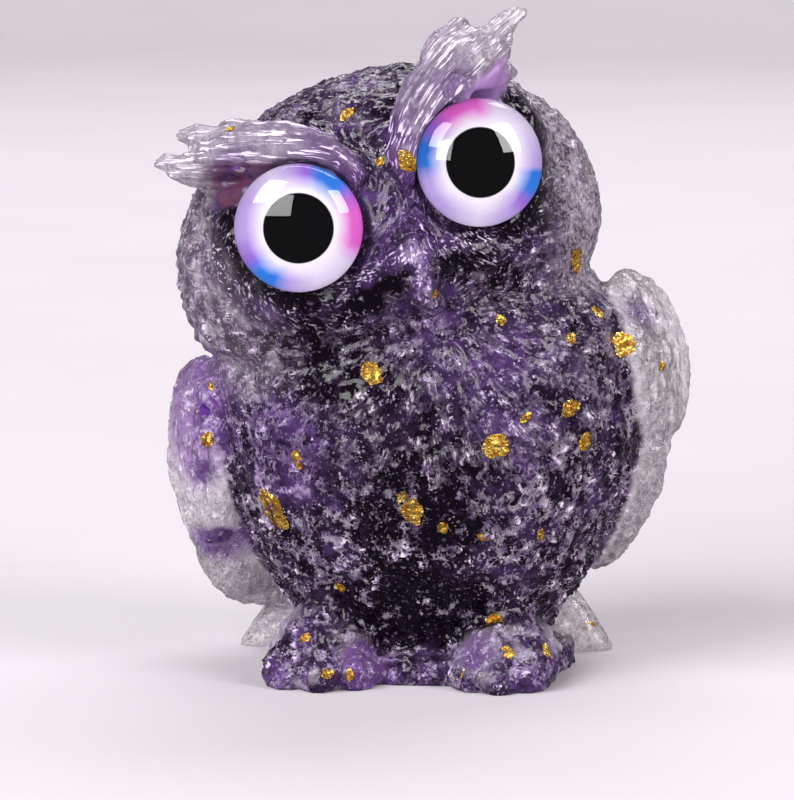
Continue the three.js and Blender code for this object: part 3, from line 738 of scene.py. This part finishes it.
def foil_material():
    m = Nodes("gold_foil")
    crease = m.noise(1.6, 4.0, 0.65, 0.8)
    folds = m.threads(1.3, 0.06)
    colour = m.ramp(crease, (0.38, (0.16, 0.045, 0.01)), (0.46, (0.70, 0.34, 0.04)),
                    (0.54, (0.95, 0.66, 0.12)), (0.68, (1.0, 0.84, 0.34)))
    colour = m.mix(m.maths("MULTIPLY", folds, 0.6), colour, (0.20, 0.06, 0.01))
    height = m.maths("SUBTRACT", m.noise(3.2, 3.0, 0.6), folds)
    return m.finish(Base_Color=colour, Metallic=m.ramp(crease, (0.38, 0.55), (0.52, 1.0)),
                    Roughness=m.ramp(crease, (0.3, 0.5), (0.7, 0.22)), Normal=m.bump(height, 0.10))


def glass_material():
    m = Nodes("eye_glass")
    return m.finish(Base_Color=(1.0, 1.0, 1.0), IOR=1.52, Transmission_Weight=1.0,
                    Specular_IOR_Level=0.15, Roughness=m.ramp(m.noise(0.4), (0.3, 0.0), (0.7, 0.02)))


def adhesive_material():
    m = Nodes("clear_adhesive")
    return m.finish(Base_Color=m.ramp(m.noise(1.0), (0.3, (0.60, 0.56, 0.64)), (0.7, (0.75, 0.72, 0.78))),
                    Roughness=0.35, Normal=m.bump(m.noise(1.5), 0.1))


PUPIL = 0.50  # of the iris disc's radius
MAGENTA, BLUE, MAUVE = (244, 112, 218), (52, 134, 240), (168, 116, 230)
LILAC, PEARL = (202, 178, 240), (236, 226, 250)
IRIS_RIMS = {  # colours round each print, from the side away from the owl's right, as (turn, colour)
    "eye_right": ((0.0, MAGENTA), (0.05, MAGENTA), (0.10, MAUVE), (0.135, BLUE), (0.19, BLUE), (0.23, MAUVE),
                  (0.33, PEARL), (0.42, LILAC), (0.52, LILAC), (0.59, MAUVE), (0.625, BLUE), (0.68, BLUE),
                  (0.73, LILAC), (0.80, PEARL), (0.90, PEARL), (0.955, MAGENTA), (1.0, MAGENTA)),
    "eye_left": ((0.0, LILAC), (0.10, PEARL), (0.20, PEARL), (0.25, MAGENTA), (0.34, MAGENTA), (0.40, MAUVE),
                 (0.44, BLUE), (0.505, BLUE), (0.55, LILAC), (0.64, LILAC), (0.74, PEARL), (0.83, LILAC),
                 (0.885, MAUVE), (0.92, BLUE), (0.965, BLUE), (0.985, LILAC), (1.0, LILAC)),
}


def srgb(red, green, blue):
    """A colour given as 0 to 255 on screen, as the linear values that Blender works in."""
    return tuple(((c / 255 + 0.055) / 1.055) ** 2.4 if c > 10 else c / 3294.6 for c in (red, green, blue))


def iris_material(eye):
    """The printed iris: lilac, pink and blue round the edge, nearly white by the pupil."""
    m = Nodes(f"{eye.name}_print")
    x, y, out = m.attribute("iris_x"), m.attribute("iris_y"), m.attribute("iris_out")
    cloud = m.maths("SUBTRACT", m.noise(0.45, 3.0, 0.6), 0.5)
    angle = m.maths("DIVIDE", m.maths("ARCTAN2", y, x), 2 * math.pi)
    turn = m.maths("FRACT", m.maths("ADD", m.maths("ADD", angle, m.maths("MULTIPLY", cloud, 0.04)), 1.0))
    rim = m.ramp(turn, *((place, srgb(*colour)) for place, colour in IRIS_RIMS[eye.name]))
    reach = m.maths("ADD", out, m.maths("MULTIPLY", cloud, 0.15))
    colour = m.mix(m.ramp(reach, (0.54, 1.0), (0.76, 0.0)), rim, srgb(250, 244, 255))
    colour = m.mix(m.ramp(out, (0.90, 0.0), (0.985, 0.75)), colour, srgb(104, 70, 170))
    pupil = m.ramp(out, (PUPIL - 0.006, 1.0), (PUPIL + 0.006, 0.0))
    colour = m.mix(pupil, colour, (0.0005, 0.0002, 0.0005))
    return m.finish(Base_Color=colour, Specular_IOR_Level=0.0,
                    Roughness=m.ramp(m.noise(3.0), (0.3, 0.5), (0.7, 0.6)))


# ---- eyes ----------------------------------------------------------------------------------------

def turned(profile, segments=96):
    """A closed solid of revolution round the Z axis, from (radius, height) pairs."""
    body = bmesh.new()
    rings = []
    for radius, height in profile:
        if radius == 0:
            rings.append([body.verts.new((0, 0, height))])
            continue
        angles = [2 * math.pi * i / segments for i in range(segments)]
        rings.append([body.verts.new((radius * math.cos(a), radius * math.sin(a), height)) for a in angles])
    for low, high in zip(rings, rings[1:]):
        for i in range(segments):
            j = (i + 1) % segments
            corners = [low[i % len(low)], low[j % len(low)], high[j % len(high)], high[i % len(high)]]
            body.faces.new(list(dict.fromkeys(corners)))
    bmesh.ops.recalc_face_normals(body, faces=body.faces)
    mesh = bpy.data.meshes.new("turned")
    body.to_mesh(mesh)
    body.free()
    return mesh


def eye_frame(eye):
    """Sideways, up and forward for one eye, as the columns of a matrix."""
    side = unit(np.cross((0, 0, 1), eye.forward))
    return np.stack([side, np.cross(eye.forward, side), eye.forward], 1)


def set_in_eye(mesh, eye, lift):
    """Moves a mesh from the Z axis to an eye, lifted above the middle of its printed disc."""
    matrix = Matrix(eye_frame(eye).tolist()).to_4x4()
    matrix.translation = Vector((eye.centre + lift * eye.forward).tolist())
    mesh.transform(matrix)


GLASS_RADIUS = 6.0
GLASS_GIRDLE = 0.62  # height where the dome starts
GLASS_DOME = 3.0
DISC_RADIUS = 5.9
DISC_HALF = 0.125  # half the printed disc's thickness


def eye_pieces(eye):
    """The glass cabochon, the printed disc and the adhesive pad of one eye."""
    dome = [(0, 0), (5.7, 0), (5.86, 0.05), (5.96, 0.16), (GLASS_RADIUS, 0.32)]
    dome += [(GLASS_RADIUS * math.cos(a), GLASS_GIRDLE + GLASS_DOME * math.sin(a))
             for a in np.linspace(0, math.pi / 2, 30)[:-1]]
    glass = turned(dome + [(0, GLASS_GIRDLE + GLASS_DOME)])
    set_in_eye(glass, eye, DISC_HALF - 0.02)
    piece = piece_from(f"owl_{eye.name}_cabochon", glass, [f"{eye.name}_glass_cabochon"])
    piece.data.materials.append(glass_material())

    disc = turned([(0, -DISC_HALF)] + [(DISC_RADIUS * i / 24, -DISC_HALF) for i in range(1, 25)]
                  + [(DISC_RADIUS * i / 48, DISC_HALF) for i in range(48, 0, -1)] + [(0, DISC_HALF)])
    points, _ = arrays(disc)
    for name, values in (("iris_x", points[:, 0]), ("iris_y", points[:, 1]),
                         ("iris_out", np.hypot(points[:, 0], points[:, 1]) / DISC_RADIUS)):
        disc.attributes.new(name, "FLOAT", "POINT").data.foreach_set("value", values.astype(np.float32))
    set_in_eye(disc, eye, 0)
    piece = piece_from(f"owl_{eye.name}_iris", disc, [f"{eye.name}_iris_print"], smooth=False)
    piece.data.materials.append(iris_material(eye))

    edge = [(5.1 + 0.25 * math.cos(a), -0.62 + 0.42 * math.sin(a)) for a in np.linspace(-1.5, 1.5, 7)]
    pad = turned([(0, -1.05)] + edge + [(0, -0.19)])
    set_in_eye(pad, eye, 0)
    piece = piece_from(f"owl_{eye.name}_adhesive", pad, [f"{eye.name}_adhesive_pad"])
    piece.data.materials.append(adhesive_material())


# ---- fill, chips and foil ------------------------------------------------------------------------

def noise_at(points, per_mm, seed):
    """Smooth noise from -1 to 1 at some points."""
    shift = Vector((seed * 3.7, seed * 1.3, seed * 7.1))
    return np.array([noise.noise(Vector(p) * per_mm + shift) for p in points.tolist()])


FILL_FLOOR = 0.05  # mm above the resting face that the fill stops


def fill_piece():
    points, normals, faces = welded("amethyst_fill")
    mesh = remeshed(points + 0.9 * normals, faces, 0.8)
    points, _ = arrays(mesh)
    normals = normals_of(mesh)
    sunk = np.minimum(1, np.maximum(0, (points[:, 2] - 1.0) / 2))
    points = points + (0.35 * sunk * noise_at(points, 0.8, 1))[:, None] * normals
    points[:, 2] = np.maximum(points[:, 2], FILL_FLOOR)
    set_points(mesh, points)
    piece = piece_from("owl_amethyst_fill", mesh, ["amethyst_fill"], smooth=False)
    piece.data.materials.append(fill_material())


def ball(subdivisions):
    body = bmesh.new()
    bmesh.ops.create_icosphere(body, subdivisions=subdivisions, radius=1)
    mesh = bpy.data.meshes.new("ball")
    body.to_mesh(mesh)
    body.free()
    return mesh


def chip_piece(name, seed, material):
    """A broken chip: a ball cut to a few flat faces, inside the CAD chip's own box."""
    random = np.random.RandomState(seed)
    points, _, _ = welded(name)
    centre = (points.min(0) + points.max(0)) / 2
    half = (points.max(0) - points.min(0)) / 2
    mesh = ball(4)
    shape, _ = arrays(mesh)
    for _ in range(14):
        facing = unit(random.normal(size=3))
        reach = random.uniform(0.62, 0.86)
        over = np.maximum(shape @ facing - reach, 0)
        shape = shape - over[:, None] * facing
    shape += 0.02 * noise_at(shape, 3.0, seed)[:, None]
    set_points(mesh, centre + shape * half * 1.05)
    piece = piece_from(f"owl_{name}", mesh, [name], smooth=False)
    piece.data.materials.append(material)


FOIL_LIFT = 0.02  # mm that a flake lies above the middle of the relief


def flake_piece(name, seed, skin, material):
    """A crumpled foil flake, pressed into the casting's surface where the CAD flake lies."""
    points, _, _ = welded(name)
    centre = points.mean(0)
    _, _, axes = np.linalg.svd(points - centre, full_matrices=False)
    outward = axes[2] * (1 if axes[2] @ (centre - head_centre * [1, 1, 0.6]) > 0 else -1)
    reach = np.abs((points - centre) @ axes.T).max(0)
    mesh = ball(5)
    shape, _ = arrays(mesh)
    ragged = 1 + 0.22 * lattice_noise(shape, 1.3, seed) + 0.16 * lattice_noise(shape, 3.4, seed + 40)
    across = shape[:, :2] * reach[:2] * ragged[:, None]
    spots = centre + across @ axes[:2]
    folds = 0.16 * np.abs(lattice_noise(spots, 1.3, seed + 80))
    folds += 0.10 * np.abs(lattice_noise(spots, 3.1, seed + 9))
    placed = np.empty_like(shape)
    for i, spot in enumerate(spots):
        hit = skin.ray_cast(Vector(spot + 2.5 * outward), Vector(-outward), 5)[0]
        placed[i] = spot if hit is None else hit
    depth = (placed - spots) @ outward
    depth = np.clip(depth, np.median(depth) - 0.25, np.median(depth) + 0.35)
    lift = FOIL_LIFT + 0.5 * (depth - np.median(depth)) + np.median(depth) + folds + 0.05 * shape[:, 2]
    placed = spots + lift[:, None] * outward
    set_points(mesh, placed)
    piece = piece_from(f"owl_{name}", mesh, [name], smooth=False)
    piece.data.materials.append(material)


# ---- the stage -----------------------------------------------------------------------------------

VIEW_DISTANCE = 450  # mm from the camera to its target
VIEW_WIDTH = 77.2  # mm across the frame at the target
VIEW_TARGET = np.array([-3.0, 0, 25.8]) + BODY_AXIS
VIEW_TURN = 4.0  # degrees round from the owl's front
VIEW_LIFT = 8.0  # degrees above the horizon


def stage():
    sheet = bpy.data.meshes.new("floor")
    body = bmesh.new()
    profile = [(-1.5, 0.0), (0.9, 0.0)]
    profile += [(0.9 + 0.5 * math.sin(a), 0.5 - 0.5 * math.cos(a)) for a in np.linspace(0.1, math.pi / 2, 16)]
    profile.append((1.4, 2.4))
    rows = [[body.verts.new((x, y, z)) for x in (-2.5, 2.5)] for y, z in profile]
    for near, far in zip(rows, rows[1:]):
        body.faces.new((near[0], near[1], far[1], far[0]))
    body.to_mesh(sheet)
    body.free()
    for polygon in sheet.polygons:
        polygon.use_smooth = True
    floor = bpy.data.objects.new("floor", sheet)
    bpy.context.scene.collection.objects.link(floor)
    m = Nodes("pale_floor")
    tone = m.ramp(m.noise(0.02, 2.0), (0.3, srgb(196, 190, 196)), (0.7, srgb(199, 193, 199)))
    floor.data.materials.append(m.finish(Base_Color=tone, Roughness=0.7))
    floor.visible_glossy = False


def area_light(name, place, size, watts, colour=(1, 1, 1), target=(0, 0, 0.035)):
    """A soft box that faces a target, by default the owl's middle; places in metres."""
    lamp = bpy.data.lights.new(name, "AREA")
    lamp.shape = "RECTANGLE"
    lamp.size, lamp.size_y = size
    lamp.energy = watts
    lamp.color = colour
    thing = bpy.data.objects.new(name, lamp)
    thing.location = place
    aim = Vector(target) - Vector(place)
    thing.rotation_euler = aim.to_track_quat("-Z", "Y").to_euler()
    bpy.context.scene.collection.objects.link(thing)


def lights_and_camera():
    area_light("key", (-0.65, -0.60, 0.80), (0.7, 0.7), 15)
    area_light("window", (-0.33, -0.92, 0.42), (0.50, 0.42), 5)
    area_light("fill", (0.9, -0.5, 0.6), (0.5, 0.6), 10.0, (1.0, 0.98, 0.97))
    area_light("back", (0.1, 0.6, 0.9), (0.9, 0.4), 6)
    area_light("wash", (0, 0.45, 0.7), (1.2, 0.3), 3.6, target=(0, 1.35, 0.1))
    world = bpy.data.worlds.new("studio")
    world.use_nodes = True
    world.node_tree.nodes["Background"].inputs["Color"].default_value = (*srgb(232, 230, 238), 1)
    world.node_tree.nodes["Background"].inputs["Strength"].default_value = 0.18
    bpy.context.scene.world = world
    bpy.context.scene.view_settings.view_transform = "Standard"

    lens = bpy.data.cameras.new("camera")
    lens.sensor_width = 36
    lens.sensor_fit = "HORIZONTAL"
    lens.lens = 36 * VIEW_DISTANCE / VIEW_WIDTH
    lens.clip_start = 0.01
    camera = bpy.data.objects.new("camera", lens)
    turn, lift = math.radians(VIEW_TURN), math.radians(VIEW_LIFT)
    ahead = np.array([-math.sin(turn) * math.cos(lift), math.cos(turn) * math.cos(lift), -math.sin(lift)])
    camera.location = (VIEW_TARGET - VIEW_DISTANCE * ahead) * MM
    camera.rotation_euler = Vector(ahead).to_track_quat("-Z", "Y").to_euler()
    bpy.context.scene.collection.objects.link(camera)
    bpy.context.scene.camera = camera


stage()
lights_and_camera()
owl = casting()
owl.data.materials.append(resin_material())
amethyst = chip_material()
foil = foil_material()
fill_piece()
for eye in eyes:
    eye_pieces(eye)
bpy.context.view_layer.update()
skin_points = [Vector(v.co) / MM for v in owl.data.vertices]
skin = BVHTree.FromPolygons(skin_points, [list(p.vertices) for p in owl.data.polygons])
for number, name in enumerate(sorted(nodes)):
    if name.startswith("amethyst_chip"):
        chip_piece(name, number, amethyst)
    elif name.startswith("gold_flake"):
        flake_piece(name, number, skin, foil)
